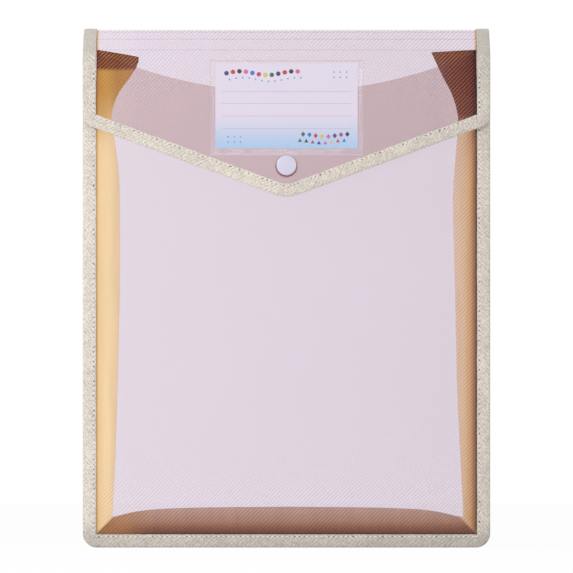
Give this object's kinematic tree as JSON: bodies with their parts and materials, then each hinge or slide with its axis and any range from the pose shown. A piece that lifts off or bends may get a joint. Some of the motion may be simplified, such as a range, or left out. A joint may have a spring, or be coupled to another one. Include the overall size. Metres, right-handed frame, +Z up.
{
  "type": "plastic envelope folder",
  "caption": "Upright pearly film document folder with a pleated amber gusset, taped edges, a V flap with a snap and a clear label pocket.",
  "frame": {"origin": "middle of the footprint on the surface the folder stands on", "axes": "+Z up towards the top fold, +X along the width, the flap faces -Y"},
  "size_m": [0.258, 0.0504, 0.3297],
  "materials": {
    "pearl_film": "pearly see-through film with fine slanting ribs",
    "amber_film": "glossy amber film",
    "binding_tape": "cream twill tape",
    "pearl_plastic": "pearly moulded plastic",
    "clear_film": "clear film",
    "card": "printed card"
  },
  "bodies": {
    "back": {"back_panel": "pearl_film", "back_binding": "binding_tape", "gusset_back_seam": "amber_film", "gusset_left_mouth": "amber_film", "gusset_right_mouth": "amber_film"},
    "left_back_leaf": {"gusset_left_back": "amber_film"},
    "left_front_leaf": {"gusset_left_front": "amber_film"},
    "front": {"front_panel": "pearl_film", "front_binding": "binding_tape", "gusset_front_seam": "amber_film", "snap_stud": "pearl_plastic", "snap_stud_cap": "pearl_plastic", "front_mouth_panel": "pearl_film", "front_mouth_tapes": "binding_tape"},
    "right_back_leaf": {"gusset_right_back": "amber_film"},
    "right_front_leaf": {"gusset_right_front": "amber_film"},
    "bottom_back_leaf": {"gusset_bottom_back": "amber_film"},
    "bottom_front_leaf": {"gusset_bottom_front": "amber_film"},
    "roof_1": {"roof_band_1": "pearl_film", "roof_tapes_1": "binding_tape"},
    "roof_2": {"roof_band_2": "pearl_film", "roof_tapes_2": "binding_tape"},
    "roof_3": {"roof_band_3": "pearl_film", "roof_tapes_3": "binding_tape"},
    "flap": {"flap_panel": "pearl_film", "flap_binding": "binding_tape", "snap_cap": "pearl_plastic", "snap_socket": "pearl_plastic", "label_pocket": "clear_film"},
    "card": {"label_card": "card"}
  },
  "joints": [
    {"name": "left_back_seam", "type": "hinge", "parent": "back", "child": "left_back_leaf", "pos_m": [-0.1207, 0.02312, 0.143], "axis": [0, 0, 1], "range_deg": [0, 53]},
    {"name": "gusset_fold", "type": "hinge", "parent": "left_back_leaf", "child": "left_front_leaf", "pos_m": [-0.10505, 0.00235, 0.143], "axis": [0, 0, -1], "range_deg": [0, 102], "deforming": ["gusset_left_mouth", "gusset_right_mouth", "front_mouth_panel", "front_mouth_tapes"]},
    {"name": "left_front_seam", "type": "hinge", "parent": "left_front_leaf", "child": "front", "pos_m": [-0.1207, -0.01842, 0.143], "axis": [0, 0, 1], "range_deg": [0, 53]},
    {"name": "right_back_seam", "type": "hinge", "parent": "back", "child": "right_back_leaf", "pos_m": [0.1207, 0.02312, 0.143], "axis": [0, 0, 1], "range_deg": [-53, 0]},
    {"name": "right_pleat", "type": "hinge", "parent": "right_back_leaf", "child": "right_front_leaf", "pos_m": [0.10505, 0.00235, 0.143], "axis": [0, 0, 1], "range_deg": [0, 106]},
    {"name": "bottom_back_seam", "type": "hinge", "parent": "back", "child": "bottom_back_leaf", "pos_m": [0, 0.02312, 0.0083], "axis": [1, 0, 0], "range_deg": [-53, 0]},
    {"name": "bottom_pleat", "type": "hinge", "parent": "bottom_back_leaf", "child": "bottom_front_leaf", "pos_m": [0, 0.00235, 0.02395], "axis": [1, 0, 0], "range_deg": [0, 106]},
    {"name": "flap_open", "type": "hinge", "parent": "back", "child": "roof_1", "pos_m": [0, 0.02437, 0.32915], "axis": [-1, 0, 0], "range_deg": [0, 102.48]},
    {"name": "crease_2", "type": "hinge", "parent": "roof_1", "child": "roof_2", "pos_m": [0, 0.00786, 0.3255], "axis": [-1, 0, 0], "range_deg": [0, 8.67]},
    {"name": "crease_3", "type": "hinge", "parent": "roof_2", "child": "roof_3", "pos_m": [0, -0.0079, 0.3194], "axis": [-1, 0, 0], "range_deg": [0, 8.67]},
    {"name": "crease_4", "type": "hinge", "parent": "roof_3", "child": "flap", "pos_m": [0, -0.02257, 0.311], "axis": [-1, 0, 0], "range_deg": [0, 60.19]},
    {"name": "card_slide", "type": "slide", "parent": "flap", "child": "card", "axis": [0, 0, 1], "range_m": [0, 0.058]}
  ],
  "couplings": [
    {"joint": "left_back_seam", "follows": "gusset_fold", "ratio": 0.5},
    {"joint": "left_front_seam", "follows": "gusset_fold", "ratio": 0.5},
    {"joint": "right_back_seam", "follows": "gusset_fold", "ratio": -0.5},
    {"joint": "right_pleat", "follows": "gusset_fold", "ratio": 1},
    {"joint": "bottom_back_seam", "follows": "gusset_fold", "ratio": -0.5},
    {"joint": "bottom_pleat", "follows": "gusset_fold", "ratio": 1},
    {"joint": "crease_2", "follows": "flap_open", "ratio": 0.084571},
    {"joint": "crease_3", "follows": "flap_open", "ratio": 0.084571},
    {"joint": "crease_4", "follows": "flap_open", "ratio": 0.58734}
  ]
}
